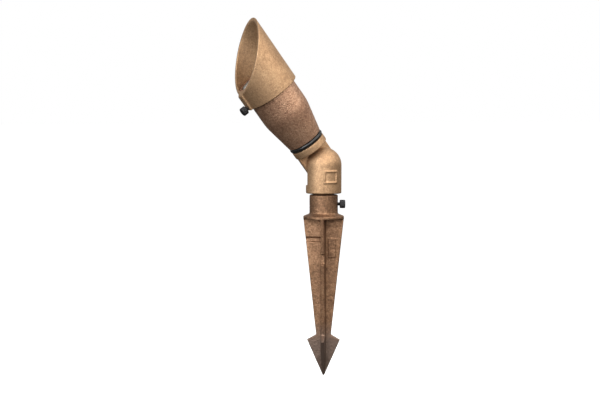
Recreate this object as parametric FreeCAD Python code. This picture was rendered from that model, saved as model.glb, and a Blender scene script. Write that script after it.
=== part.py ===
"""Garden spike spotlight: a sand-cast bronze bullet lamp with a slanted glare cowl, on a half-lap knuckle
that turns in the collar of a cast four-fin ground spike.  Millimetres, +Z up.

Row frame: the origin is on the spike's axis, at the underside of its flange, which is the ground line.
The head tilts in the XZ plane, about a bolt that lies along Y, and at rest it leans towards -X.
The head is built upright about its own axis, with the bolt's axis at zero height, and then tilted.
"""
import FreeCAD
import Part

import math
import os

from FreeCAD import Vector

# ---- driving dimensions -------------------------------------------------------------------------------
# Fits
RUNNING_GAP = 0.05          # radial gap of a shaft or a thread in its hole
SEAT_GAP = 0.1              # gap left between two faces that touch but move apart
SLIP_GAP = 0.1              # radial gap of the stem in the collar

# Spike
COLLAR_R = 16.5
COLLAR_TOP = 28.0
COLLAR_FLOOR = 6.0          # thickness of metal under the collar's bore
COLLAR_EDGE = 1.4           # rounding of the collar's mouth
FLANGE_R = 23.6
FLANGE_RIM = 3.3            # height of the flange's upright rim
FLANGE_RISE = 2.8           # further rise of the flange's cone up to the collar
SPIKE_TURN = -28.0          # the fins' turn about Z, away from the tilt plane
FIN_ROOT = 6.0              # fin thickness at the axis
FIN_EDGE = 3.4              # fin thickness at the flange's radius
FIN_TOP_R = 23.4
WAIST_R = 8.6
WAIST_Z = -135.0
BARB_R = 19.2
BARB_Z = -140.8
TIP_Z = -183.0
TIP_BLUNT_R = 0.7           # half width of the blunt point
TIP_THIN_Z = -158.0         # below this the fins also draw in across their thickness
GROOVE_TOP = -21.5          # the cross groove on one fin's face
GROOVE_H = 4.8
GROOVE_SKIN = 0.5            # metal left between the groove's floor and the fin's mid-plane
NOTCH_TOP = -40.0           # the notch in the edge of the next fin
NOTCH_H = 11.3
NOTCH_DEEP = 5.0
PLAQUE_TOP = -23.0          # the blank cast pad on the third fin
PLAQUE_H = 22.0
PLAQUE_W = 8.5
PLAQUE_INSET = 5.5          # from the axis to the pad's near side
PLAQUE_THICK = 0.7
OUTLET_R = 2.6              # cable outlet through the collar's floor, between two fins
OUTLET_REACH = 7.85         # from the axis to the outlet's centre

# Stem, a 1/2 inch straight pipe nipple
STEM_R = 10.48
STEM_BORE_R = 7.9
STEM_PITCH = 1.814
STEM_THREAD_DEEP = 0.9
STEM_IN_KNUCKLE = 12.0
STEM_END_GAP = 1.0          # from the stem's lower end to the collar's floor

# Knuckle
KNUCKLE_R = 20.6
TONGUE_R = 19.8             # the upper half's domed tongue, a little narrower than its cap
HINGE_Z = 62.0
KNUCKLE_LIFT = 1.3          # gap between the collar's mouth and the knuckle's foot
RING_STEP = 23.2            # from the bolt's axis to the full-round ring of each half
FACE_LOWER = 0.8            # the lower half's mating face, along Y
HEAD_SHIFT = 4.0            # the head's axis lies this far along Y from the spike's axis
FACE_GAP = 1.6              # gap between the two mating faces at their rim
PAD_IN_R = 10.2             # the raised friction rings of the two mating faces
PAD_OUT_R = 13.6
KNUCKLE_EDGE = 1.3          # rounding of the knuckle's foot
CAP_EDGE = 1.0              # rounding of the cap's lower edge
WIRE_ROOM_R = 10.2          # the round wire chamber about the bolt
WIRE_ROOM_DEEP = 8.5
WIRE_BORE_R = 6.0
BOLT_BOSS_R = 5.6
SEAL_R = 16.6               # mean radius of the O-ring between the two halves
SEAL_GROOVE = 0.6
BADGE_W = 17.0              # the blank raised pad on the front of the knuckle
BADGE_H = 14.5
BADGE_Z = 48.6
BADGE_PROUD = 0.9
BADGE_FRAME = 1.7           # width of the pad's raised rim, round a sunk blank field

# Knuckle bolt, M6 socket head
BOLT_R = 3.0
BOLT_HEAD_R = 5.0
BOLT_HEAD_H = 6.0
BOLT_KEY_R = 2.9            # across the corners of the hex key hole
BOLT_KEY_DEEP = 3.2
BOLT_IN_LOWER = 12.0        # thread in the lower half
BOLT_SEAT = 12.0            # from the head's axis to the washer's seat, along Y
WASHER_R = 5.9
WASHER_H = 1.4

# Head: the knuckle's upper half and the body
CAP_R = 20.9
CAP_TOP = 31.6
SPIGOT_R = 15.5
SPIGOT_TOP = 45.0
SPIGOT_PITCH = 1.5
SPIGOT_THREAD_DEEP = 0.7
CAP_BORE_R = 8.0            # the wire seal's seat
BODY_FOOT = 37.1
BODY_FOOT_R = 21.1
TAPER_TOP = 66.0            # the straight taper ends here
TAPER_TOP_R = 26.6
BARREL_START = 80.0         # the round barrel starts here
BODY_TOP = 127.0            # the front end; the bays inside are measured back from it
BODY_WALL = 3.2
LENS_BAY = 6.5              # depth of the lens's bay
LAMP_BAY = 8.5              # depth of the lamp rim's bay, behind the lens's
LEDGE_ROOM = 0.5            # radial gap between the lamp's bowl and the ledge its rim sits on
LAMP_ROOM = 0.4             # radial gap round the lamp's rim
LENS_STEP = 1.0             # width of the shelf the lens's gasket overlaps
LENS_WALL = 1.85            # the barrel's wall round the lens
BODY_EDGE = 0.7

# Body O-ring
ORING_SECTION = 2.67
ORING_PROUD = 0.3           # how far it stands out past the body's foot

# Lens and its fixings
GASKET_H = 1.2
GASKET_W = 2.7
LENS_H = 3.0
LENS_ROOM = 0.3             # radial gap round the lens
RETAINER_H = 1.5
RETAINER_W = 2.0
LENS_EDGE = 0.4

# Lamp, a 50 mm two-pin reflector lamp
LAMP_R = 25.0
LAMP_RIM_H = 4.0
LAMP_RIM_W = 1.8            # how far the rim stands out from the bowl
LAMP_NECK_R = 8.4
LAMP_DEPTH = 30.0           # from the rim's underside to the neck
LAMP_GLASS_WALL = 1.6
LAMP_COVER_H = 1.2
LAMP_BASE_W = 15.5
LAMP_BASE_D = 9.6
LAMP_BASE_H = 9.5
PIN_SPACING = 5.33
PIN_R = 0.76
PIN_LENGTH = 7.2
CAPSULE_R = 4.3
CAPSULE_H = 13.0
CLIP_SECTION = 0.8          # the wire ring that holds the lamp on its ledge

# Lamp holder and leads
HOLDER_R = 9.0
HOLDER_H = 10.0
HOLDER_GAP = 0.3
LEAD_R = 1.15
LEAD_SLACK = 0.15           # how far a lead bows out on its way down, for each mm of the way
SEAL_PLUG_LOW = 36.0
SEAL_PLUG_TOP = 47.5
SEAL_PLUG_LIP_R = 9.4

# Cowl
COWL_ROOM = 0.75            # radial gap between the barrel and the cowl, filled by the slip ring
COWL_WALL = 3.4
COWL_LAP = 23.0             # how far the cowl reaches back over the barrel
CUT_RISE = 28.0             # from the body's front end to the slanted cut, on the axis
CUT_ANGLE = 43.0            # the cut's slope, from square
COWL_EDGE = 0.9
BOSS_PROUD = 1.9            # how far the screw boss's flat face stands out from the cowl
BOSS_W = 12.0
BOSS_EDGE = 0.8
SLIP_RING_BACK = 11.0       # from the body's front end back to the slip ring
SLIP_RING_SECTION = 0.95

# Thumb screws, M4
SCREW_R = 2.0
SCREW_PAD_H = 1.2
SCREW_PAD_R = 1.8
KNOB_R = 4.95
KNOB_LENGTH = 6.3
KNOB_STAND = 2.1            # bare thread between the metal and the knob
KNOB_EDGE = 0.8
KNOB_FLUTES = 18
KNOB_FLUTE_R = 0.55
COWL_SCREW_UP = 3.4         # from the cowl's foot to its screw's axis
SPIKE_SCREW_Z = 17.1

# Pose of the head at rest
TILT = 37.0                 # lean of the head from upright, towards -X

# ---- places worked out from them ------------------------------------------------------------------------
X = Vector(1, 0, 0)
Y = Vector(0, 1, 0)
Z = Vector(0, 0, 1)
ORIGIN = Vector(0, 0, 0)
FAR = 400.0                 # longer than anything here, for cutting tools

KNUCKLE_FOOT = COLLAR_TOP + KNUCKLE_LIFT
FACE_UPPER = FACE_LOWER + FACE_GAP - HEAD_SHIFT          # the upper half's mating face, from the head's axis
STEM_TOP = KNUCKLE_FOOT + STEM_IN_KNUCKLE
STEM_FOOT = COLLAR_FLOOR + STEM_END_GAP
SEAL_SECTION = (FACE_GAP + SEAL_GROOVE - SEAT_GAP) / 2    # radius of the knuckle O-ring's section
COLLAR_BORE_R = STEM_R + SLIP_GAP
FLANGE_TOP = FLANGE_RIM + FLANGE_RISE
ORING_R = BODY_FOOT_R + ORING_PROUD - ORING_SECTION
SHOULDER_R = ORING_R - ORING_SECTION - SEAT_GAP            # the O-ring sits around this shoulder
LAMP_BOWL_R = LAMP_R - LAMP_RIM_W
LEDGE_BORE_R = LAMP_BOWL_R + LEDGE_ROOM
LAMP_BORE_R = LAMP_R + LAMP_ROOM
LENS_BORE_R = LAMP_BORE_R + LENS_STEP
LENS_R = LENS_BORE_R - LENS_ROOM
GASKET_IN_R = LENS_R - GASKET_W
RETAINER_IN_R = LENS_BORE_R - RETAINER_W
BARREL_R = LENS_BORE_R + LENS_WALL
COWL_BORE_R = BARREL_R + COWL_ROOM
COWL_R = COWL_BORE_R + COWL_WALL
BOSS_REACH = COWL_R + BOSS_PROUD                        # from the axis to the boss's flat face
COWL_FOOT = BODY_TOP - COWL_LAP
COWL_SCREW_Z = COWL_FOOT + COWL_SCREW_UP
SLIP_RING_Z = BODY_TOP - SLIP_RING_BACK
CUT_CENTRE = BODY_TOP + CUT_RISE                        # height of the slanted cut on the axis
LENS_SHELF = BODY_TOP - LENS_BAY
LAMP_LEDGE = LENS_SHELF - LAMP_BAY
LAMP_NECK = LAMP_LEDGE - LAMP_DEPTH
GASKET_LOW = LENS_SHELF
LENS_LOW = GASKET_LOW + GASKET_H
RETAINER_LOW = LENS_LOW + LENS_H
LAMP_FRONT = LAMP_LEDGE + SEAT_GAP + LAMP_RIM_H
CLIP_Z = LAMP_FRONT + SEAT_GAP + CLIP_SECTION
CLIP_R = LAMP_BORE_R + 0.3 - CLIP_SECTION
LAMP_FOOT = LAMP_NECK - LAMP_BASE_H
HOLDER_TOP = LAMP_FOOT - HOLDER_GAP
HOLDER_FOOT = HOLDER_TOP - HOLDER_H
SLIP_RING_R = BARREL_R + SEAT_GAP + SLIP_RING_SECTION
BOLT_START = HEAD_SHIFT + BOLT_SEAT + WASHER_H           # underside of the bolt's head, along Y
BOLT_END = FACE_LOWER - BOLT_IN_LOWER


# ---- helpers ------------------------------------------------------------------------------------------
def at(x, y, z):
    return Vector(x, y, z)


def cylinder(radius, low, high):
    """Upright cylinder about Z, from height low to height high."""
    return Part.makeCylinder(radius, high - low, at(0, 0, low))


def cylinder_along(radius, start, direction, length):
    return Part.makeCylinder(radius, length, start, direction)


def cuboid(x0, x1, y0, y1, z0, z1):
    return Part.makeBox(x1 - x0, y1 - y0, z1 - z0, at(x0, y0, z0))


def tube(outer, inner, low, high):
    return cylinder(outer, low, high).cut(cylinder(inner, low - 1, high + 1))


def ring(mean_radius, section, height):
    """A round ring (torus) about Z."""
    return Part.makeTorus(mean_radius, section, at(0, 0, height), Z)


def spun(outline):
    """Turns a closed outline of (radius, height) points about Z.  A three-point item is an arc:
    (radius, height, (mid radius, mid height)) runs from the point before it through the middle point."""
    edges = []
    last = outline[-1]
    for item in outline:
        start = at(last[0], 0, last[1])
        end = at(item[0], 0, item[1])
        if len(item) == 3:
            edges.append(Part.Arc(start, at(item[2][0], 0, item[2][1]), end).toShape())
        elif (start - end).Length > 1e-6:
            edges.append(Part.makeLine(start, end))
        last = item
    return Part.Face(Part.Wire(edges)).revolve(ORIGIN, Z, 360)


def plate(points, thickness):
    """A flat plate in the XZ plane, centred on Y, from its (x, z) corners."""
    corners = [at(x, -thickness / 2, z) for x, z in points]
    return Part.Face(Part.makePolygon(corners + corners[:1])).extrude(Y * thickness)


def threaded_side(radius, low, high, pitch, deep):
    """Points up a shaft's side with one V groove to each pitch, for an outline given to spun()."""
    turns = int((high - low) / pitch)
    start = low + (high - low - turns * pitch) / 2
    points = []
    for turn in range(turns):
        z = start + turn * pitch
        points += [(radius, z), (radius - deep, z + pitch / 2)]
    return points + [(radius, start + turns * pitch)]


def rounded(shape, radius, chosen):
    """Rounds the edges for which chosen(edge) is true."""
    edges = [edge for edge in shape.Edges if chosen(edge)]
    return shape.makeFillet(radius, edges)


def circle_at(radius, height, tolerance=0.01):
    """Chooses the round edges of that radius at that height, about Z."""
    def chosen(edge):
        box = edge.BoundBox
        level = abs(box.ZMin - height) < tolerance and abs(box.ZMax - height) < tolerance
        return level and isinstance(edge.Curve, Part.Circle) and abs(edge.Curve.Radius - radius) < tolerance
    return chosen


def on_head(shape):
    """Puts a piece that was built upright about the head's axis where the tilted head holds it."""
    placed = shape.copy()
    placed.rotate(ORIGIN, Y, -TILT)
    placed.translate(at(0, HEAD_SHIFT, HINGE_Z))
    return placed


def on_spike(shape):
    placed = shape.copy()
    placed.rotate(ORIGIN, Z, SPIKE_TURN)
    return placed


# ---- thumb screws -----------------------------------------------------------------------------------------
def thumb_screw(inner_end, metal_face):
    """A black fluted knob on an M4 thread, lying along +X: the thread from inner_end out, past metal_face."""
    knob_in = metal_face + KNOB_STAND
    thread = cylinder_along(SCREW_R, at(inner_end, 0, 0), X, knob_in - inner_end + 1)
    knob = cylinder_along(KNOB_R, at(knob_in, 0, 0), X, KNOB_LENGTH)
    knob = rounded(knob, KNOB_EDGE, lambda edge: isinstance(edge.Curve, Part.Circle))
    for flute in range(KNOB_FLUTES):
        angle = 2 * math.pi * flute / KNOB_FLUTES
        centre = at(knob_in - 1, KNOB_R * math.cos(angle), KNOB_R * math.sin(angle))
        knob = knob.cut(cylinder_along(KNOB_FLUTE_R, centre, X, KNOB_LENGTH + 2))
    return knob.fuse(thread).removeSplitter()


def screw_pad(inner_end):
    """The nylon pad at the screw's inner end, which keeps it from marking what it clamps."""
    return cylinder_along(SCREW_PAD_R, at(inner_end, 0, 0), X, SCREW_PAD_H)


def spike_screw_parts():
    pad_in = STEM_R + SEAT_GAP
    screw_in = pad_in + SCREW_PAD_H
    height = at(0, 0, SPIKE_SCREW_Z)
    parts = []
    for piece in (thumb_screw(screw_in, COLLAR_R), screw_pad(pad_in)):
        piece.translate(height)
        parts.append(on_spike(piece))
    return parts


def cowl_screw_parts():
    pad_in = BARREL_R + SEAT_GAP
    screw_in = pad_in + SCREW_PAD_H
    parts = []
    for piece in (thumb_screw(screw_in, BOSS_REACH), screw_pad(pad_in)):
        piece.rotate(ORIGIN, Z, 180)
        piece.translate(at(0, 0, COWL_SCREW_Z))
        parts.append(on_head(piece))
    return parts


# ---- spike --------------------------------------------------------------------------------------------
def fin_half_width(reach):
    """Half the fin's thickness at that distance from the axis: it draws in from root to edge."""
    return (FIN_ROOT + (FIN_EDGE - FIN_ROOT) * reach / FIN_TOP_R) / 2


def spike_fin():
    """One fin along +X: its side view, cut to the drawn-in thickness of a casting."""
    side = plate([(0, FLANGE_RIM), (FIN_TOP_R, FLANGE_RIM), (FIN_TOP_R, 0), (WAIST_R, WAIST_Z),
                  (BARB_R, BARB_Z), (TIP_BLUNT_R, TIP_Z), (0, TIP_Z)], FIN_ROOT)
    root = fin_half_width(0)
    edge = fin_half_width(FIN_TOP_R)
    corners = [at(0, -root, TIP_Z), at(FIN_TOP_R, -edge, TIP_Z), at(FIN_TOP_R, edge, TIP_Z), at(0, root, TIP_Z)]
    wedge = Part.Face(Part.makePolygon(corners + corners[:1])).extrude(Z * (FLANGE_RIM - TIP_Z))
    point = [at(0, -root, FLANGE_RIM), at(0, root, FLANGE_RIM), at(0, root, TIP_THIN_Z),
             at(0, TIP_BLUNT_R, TIP_Z), at(0, -TIP_BLUNT_R, TIP_Z), at(0, -root, TIP_THIN_Z)]
    narrowing = Part.Face(Part.makePolygon(point + point[:1])).extrude(X * FIN_TOP_R)
    return side.common(wedge).common(narrowing)


def spike():
    fin = spike_fin()
    notch = cuboid(notch_floor(), FAR, -FIN_ROOT, FIN_ROOT, NOTCH_TOP - NOTCH_H, NOTCH_TOP)
    body = spun([(0, 0), (FLANGE_R, 0), (FLANGE_R, FLANGE_RIM), (COLLAR_R, FLANGE_TOP),
                 (COLLAR_R, COLLAR_TOP), (0, COLLAR_TOP)])
    body = rounded(body, COLLAR_EDGE, circle_at(COLLAR_R, COLLAR_TOP))
    body = rounded(body, 1.0, circle_at(FLANGE_R, FLANGE_RIM))
    body = rounded(body, 1.6, circle_at(COLLAR_R, FLANGE_TOP))
    for quarter in range(4):
        blade = fin.copy()
        if quarter == 3:            # the fin that faces the front
            blade = blade.cut(notch)
        blade.rotate(ORIGIN, Z, 90 * quarter)
        body = body.fuse(blade)
    body = body.removeSplitter()
    # the cross groove on the front face of the fin along -X
    groove = cuboid(-FAR, -FIN_ROOT / 2, -FAR, -GROOVE_SKIN, GROOVE_TOP - GROOVE_H, GROOVE_TOP)
    body = body.cut(groove)
    body = body.fuse(spike_plaque()).removeSplitter()
    body = body.cut(cylinder(COLLAR_BORE_R, COLLAR_FLOOR, COLLAR_TOP + 1))
    body = body.cut(cylinder_along(SCREW_R + RUNNING_GAP, at(0, 0, SPIKE_SCREW_Z), X, FLANGE_R))
    diagonal = OUTLET_REACH / math.sqrt(2)
    outlet = Part.makeCylinder(OUTLET_R, COLLAR_FLOOR + 2, at(diagonal, diagonal, -1))
    return on_spike(body.cut(outlet))


def notch_floor():
    """Distance from the axis to the notch's floor: its depth is measured from the fin's sloping edge."""
    middle = NOTCH_TOP - NOTCH_H / 2
    edge = FIN_TOP_R + (WAIST_R - FIN_TOP_R) * middle / WAIST_Z
    return edge - NOTCH_DEEP


def spike_plaque():
    """A blank raised pad on the front face of the fin along +X."""
    near = fin_half_width(PLAQUE_INSET)
    far = fin_half_width(PLAQUE_INSET + PLAQUE_W)
    corners = [at(PLAQUE_INSET, 0, PLAQUE_TOP), at(PLAQUE_INSET, -near - PLAQUE_THICK, PLAQUE_TOP),
               at(PLAQUE_INSET + PLAQUE_W, -far - PLAQUE_THICK, PLAQUE_TOP),
               at(PLAQUE_INSET + PLAQUE_W, 0, PLAQUE_TOP)]
    return Part.Face(Part.makePolygon(corners + corners[:1])).extrude(Z * -PLAQUE_H)


# ---- stem and lower half of the knuckle -----------------------------------------------------------------
def stem():
    side = threaded_side(STEM_R, STEM_FOOT, STEM_TOP, STEM_PITCH, STEM_THREAD_DEEP)
    return spun([(STEM_BORE_R, STEM_FOOT)] + side + [(STEM_BORE_R, STEM_TOP)])


def half_bullet(radius, foot):
    """A round post with a domed end centred on the bolt's axis, from height foot (below zero) up."""
    slant = math.sqrt(0.5) * radius
    return spun([(0, foot), (radius, foot), (radius, 0), (0, radius, (slant, slant))])


def wire_room(face, direction):
    """The round chamber about the bolt, sunk from a mating face, with the bolt's boss left standing."""
    start = at(0, face - direction, 0)
    room = cylinder_along(WIRE_ROOM_R, start, Y * direction, WIRE_ROOM_DEEP + 1)
    return room.cut(cylinder_along(BOLT_BOSS_R, start, Y * direction, WIRE_ROOM_DEEP + 1))


def friction_ring(face, direction, thickness):
    start = at(0, face - direction * 0.5, 0)
    outer = cylinder_along(PAD_OUT_R, start, Y * direction, thickness + 0.5)
    return outer.cut(cylinder_along(PAD_IN_R, start, Y * direction, thickness + 0.5))


def knuckle_lower():
    """Front half: a domed post with a full-round foot, cut flat to face the upper half."""
    foot = KNUCKLE_FOOT - HINGE_Z
    shape = half_bullet(KNUCKLE_R, foot)
    shape = rounded(shape, KNUCKLE_EDGE, circle_at(KNUCKLE_R, foot))
    shape = shape.fuse(badge_pad()).removeSplitter()
    shape = shape.cut(cuboid(-FAR, FAR, FACE_LOWER, FAR, -RING_STEP, FAR))
    pad = (FACE_GAP - SEAT_GAP) / 2
    shape = shape.fuse(friction_ring(FACE_LOWER, 1, pad))
    shape = shape.cut(wire_room(FACE_LOWER, -1))
    shape = shape.cut(cylinder(WIRE_BORE_R, foot - 1, -BOLT_BOSS_R - 1))
    shape = shape.cut(cylinder(STEM_R + RUNNING_GAP, foot - 1, STEM_TOP - HINGE_Z + SEAT_GAP))
    shape = shape.cut(cylinder_along(BOLT_R + RUNNING_GAP, at(0, FACE_LOWER + 1, 0), -Y, BOLT_IN_LOWER + 3))
    groove = Part.makeTorus(SEAL_R, SEAL_SECTION + RUNNING_GAP,
                            at(0, FACE_LOWER + SEAL_SECTION - SEAL_GROOVE, 0), Y)
    shape = shape.cut(groove).removeSplitter()
    shape.translate(at(0, 0, HINGE_Z))
    return shape


def badge_pad():
    """A blank raised square on the front, clipped to stand a steady height off the round wall."""
    block = cuboid(-BADGE_W / 2, BADGE_W / 2, -FAR, 0,
                   BADGE_Z - BADGE_H / 2 - HINGE_Z, BADGE_Z + BADGE_H / 2 - HINGE_Z)
    pad = block.common(cylinder(KNUCKLE_R + BADGE_PROUD, -RING_STEP, KNUCKLE_R))
    field = cuboid(BADGE_FRAME - BADGE_W / 2, BADGE_W / 2 - BADGE_FRAME, -FAR, 0,
                   BADGE_Z - BADGE_H / 2 + BADGE_FRAME - HINGE_Z, BADGE_Z + BADGE_H / 2 - BADGE_FRAME - HINGE_Z)
    return pad.cut(field.cut(cylinder(KNUCKLE_R, -FAR, FAR)))


def knuckle_seal():
    seal = Part.makeTorus(SEAL_R, SEAL_SECTION, at(0, FACE_LOWER + SEAL_SECTION - SEAL_GROOVE, 0), Y)
    seal.translate(at(0, 0, HINGE_Z))
    return seal


def knuckle_bolt():
    shank = cylinder_along(BOLT_R, at(0, BOLT_END, 0), Y, BOLT_START - BOLT_END)
    head = cylinder_along(BOLT_HEAD_R, at(0, BOLT_START, 0), Y, BOLT_HEAD_H)
    head = rounded(head, 0.5, lambda edge: isinstance(edge.Curve, Part.Circle) and edge.BoundBox.YMin > BOLT_START + 1)
    top = BOLT_START + BOLT_HEAD_H
    hexagon = [at(BOLT_KEY_R * math.cos(math.radians(60 * k)), top + 1, BOLT_KEY_R * math.sin(math.radians(60 * k)))
               for k in range(6)]
    key = Part.Face(Part.makePolygon(hexagon + hexagon[:1])).extrude(-Y * (BOLT_KEY_DEEP + 1))
    bolt = head.fuse(shank).cut(key).removeSplitter()
    bolt.translate(at(0, 0, HINGE_Z))
    return bolt


def knuckle_washer():
    start = at(0, HEAD_SHIFT + BOLT_SEAT, 0)
    washer = cylinder_along(WASHER_R, start, Y, WASHER_H)
    washer = washer.cut(cylinder_along(BOLT_R + SEAT_GAP, start - Y, Y, WASHER_H + 2))
    washer.translate(at(0, 0, HINGE_Z))
    return washer


# ---- head -----------------------------------------------------------------------------------------------
def knuckle_upper():
    """Rear half: the domed tongue, the round cap that the body screws on, and the cap's threaded spigot."""
    tongue = half_bullet(TONGUE_R, -RING_STEP)
    tongue.rotate(ORIGIN, X, 180)
    tongue = tongue.cut(cuboid(-FAR, FAR, -FAR, FACE_UPPER, -FAR, RING_STEP))
    side = threaded_side(SPIGOT_R, BODY_FOOT + 1, SPIGOT_TOP - 0.5, SPIGOT_PITCH, SPIGOT_THREAD_DEEP)
    cap = spun([(0, RING_STEP), (CAP_R, RING_STEP), (CAP_R, CAP_TOP), (SHOULDER_R, CAP_TOP),
                (SHOULDER_R, BODY_FOOT - SEAT_GAP), (SPIGOT_R, BODY_FOOT - SEAT_GAP)] + side
               + [(SPIGOT_R, SPIGOT_TOP), (0, SPIGOT_TOP)])
    cap = rounded(cap, CAP_EDGE, circle_at(CAP_R, RING_STEP))
    shape = tongue.fuse(cap).removeSplitter()
    pad = (FACE_GAP - SEAT_GAP) / 2
    shape = shape.fuse(friction_ring(FACE_UPPER, -1, pad))
    shape = shape.cut(wire_room(FACE_UPPER, 1))
    shape = shape.cut(cylinder(WIRE_BORE_R, BOLT_BOSS_R + 1, SPIGOT_TOP + 1))
    shape = shape.cut(cylinder(CAP_BORE_R, SEAL_PLUG_LOW - SEAT_GAP, SPIGOT_TOP + 1))
    shape = shape.cut(cylinder_along(BOLT_R + SEAT_GAP, at(0, FACE_UPPER - 1, 0), Y, FAR))
    shape = shape.cut(cylinder_along(WASHER_R + 0.5, at(0, BOLT_SEAT, 0), Y, FAR))
    return on_head(shape.removeSplitter())


def body_shell():
    """The bullet: a straight taper, an arc that meets it and the barrel smoothly, and the stepped inside."""
    mid = TAPER_TOP + (BARREL_START - TAPER_TOP) * 0.5
    mid_r = TAPER_TOP_R + (BARREL_R - TAPER_TOP_R) * 0.74
    neck = SPIGOT_TOP + 2
    slope_r = BODY_FOOT_R + (TAPER_TOP_R - BODY_FOOT_R) * (neck - BODY_FOOT) / (TAPER_TOP - BODY_FOOT)
    shell = spun([
        (SPIGOT_R + RUNNING_GAP, BODY_FOOT), (BODY_FOOT_R, BODY_FOOT), (TAPER_TOP_R, TAPER_TOP),
        (BARREL_R, BARREL_START, (mid_r, mid)), (BARREL_R, BODY_TOP), (LENS_BORE_R, BODY_TOP),
        (LENS_BORE_R, LENS_SHELF), (LAMP_BORE_R, LENS_SHELF), (LAMP_BORE_R, LAMP_LEDGE),
        (LEDGE_BORE_R, LAMP_LEDGE), (LEDGE_BORE_R, BARREL_START - 4), (slope_r - BODY_WALL, neck),
        (SPIGOT_R + RUNNING_GAP, neck)])
    shell = rounded(shell, BODY_EDGE, circle_at(BODY_FOOT_R, BODY_FOOT))
    shell = rounded(shell, BODY_EDGE, circle_at(BARREL_R, BODY_TOP))
    groove = ring(CLIP_R, CLIP_SECTION + RUNNING_GAP, CLIP_Z)
    return on_head(shell.cut(groove))


def body_oring():
    return on_head(ring(ORING_R, ORING_SECTION, (CAP_TOP + BODY_FOOT) / 2))


def lens_gasket():
    return on_head(tube(LENS_R, GASKET_IN_R, GASKET_LOW, LENS_LOW))


def lens():
    glass = cylinder(LENS_R, LENS_LOW, RETAINER_LOW)
    return on_head(glass.makeChamfer(LENS_EDGE, glass.Edges[:1] + glass.Edges[2:]))


def lens_retainer():
    """A spring ring, split at the top, that snaps in above the lens."""
    band = tube(LENS_BORE_R - RUNNING_GAP, RETAINER_IN_R, RETAINER_LOW, RETAINER_LOW + RETAINER_H)
    return on_head(band.cut(cuboid(0, FAR, -2.5, 2.5, RETAINER_LOW - 1, BODY_TOP)))


# ---- lamp ---------------------------------------------------------------------------------------------------
def lamp_reflector():
    """The lamp's glass bowl: a deep round dish with a rim, open at the neck."""
    low = LAMP_LEDGE + SEAT_GAP
    wall = LAMP_GLASS_WALL
    deep_mid_r = LAMP_NECK_R + (LAMP_BOWL_R - LAMP_NECK_R) * 0.68
    deep_mid = LAMP_NECK + (low - LAMP_NECK) * 0.45
    bowl = spun([
        (LAMP_NECK_R - wall, LAMP_NECK), (LAMP_NECK_R, LAMP_NECK),
        (LAMP_BOWL_R, low, (deep_mid_r, deep_mid)), (LAMP_R, low), (LAMP_R, LAMP_FRONT),
        (LAMP_BOWL_R, LAMP_FRONT), (LAMP_BOWL_R, LAMP_FRONT - LAMP_COVER_H - SEAT_GAP),
        (LAMP_BOWL_R - wall, LAMP_FRONT - LAMP_COVER_H - SEAT_GAP), (LAMP_BOWL_R - wall, low),
        (LAMP_NECK_R - wall, LAMP_NECK + wall, (deep_mid_r - wall * 0.7, deep_mid + wall * 0.7))])
    return on_head(bowl)


def lamp_cover():
    return on_head(cylinder(LAMP_BOWL_R - RUNNING_GAP, LAMP_FRONT - LAMP_COVER_H, LAMP_FRONT))


def lamp_base():
    """The ceramic block at the lamp's neck."""
    block = cuboid(-LAMP_BASE_W / 2, LAMP_BASE_W / 2, -LAMP_BASE_D / 2, LAMP_BASE_D / 2, LAMP_FOOT, LAMP_NECK)
    block = rounded(block, 1.2, lambda edge: edge.BoundBox.ZLength > 1)
    plug = cylinder(LAMP_NECK_R - LAMP_GLASS_WALL - RUNNING_GAP, LAMP_NECK - 1, LAMP_NECK + LAMP_GLASS_WALL)
    shape = block.fuse(plug)
    for side in (-1, 1):
        shape = shape.cut(pin_along(side, PIN_R + RUNNING_GAP, LAMP_FOOT - 1, LAMP_FOOT + 4))
    return on_head(shape.removeSplitter())


def pin_along(side, radius, low, high):
    return Part.makeCylinder(radius, high - low, at(side * PIN_SPACING / 2, 0, low))


def lamp_pins():
    pins = [pin_along(side, PIN_R, LAMP_FOOT - PIN_LENGTH, LAMP_FOOT + 4 - SEAT_GAP) for side in (-1, 1)]
    return on_head(Part.makeCompound(pins))


def lamp_capsule():
    """The small light source in the middle of the bowl."""
    low = LAMP_NECK + LAMP_GLASS_WALL + SEAT_GAP
    slant = math.sqrt(0.5) * CAPSULE_R
    high = low + CAPSULE_H - CAPSULE_R
    return on_head(spun([(0, low), (CAPSULE_R, low), (CAPSULE_R, high),
                         (0, high + CAPSULE_R, (slant, high + slant))]))


def lamp_clip():
    """The wire ring in the body's groove, with the gap that lets it be squeezed out."""
    wire = ring(CLIP_R, CLIP_SECTION, CLIP_Z)
    return on_head(wire.cut(cuboid(0, FAR, -3.0, 3.0, CLIP_Z - 2, CLIP_Z + 2)))


# ---- lamp holder and leads --------------------------------------------------------------------------------------
def lamp_holder():
    shape = cylinder(HOLDER_R, HOLDER_FOOT, HOLDER_TOP)
    shape = rounded(shape, 0.8, lambda edge: isinstance(edge.Curve, Part.Circle))
    for side in (-1, 1):
        shape = shape.cut(pin_along(side, PIN_R + RUNNING_GAP, LAMP_FOOT - PIN_LENGTH - 0.3, HOLDER_TOP + 1))
    return on_head(shape)


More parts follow.
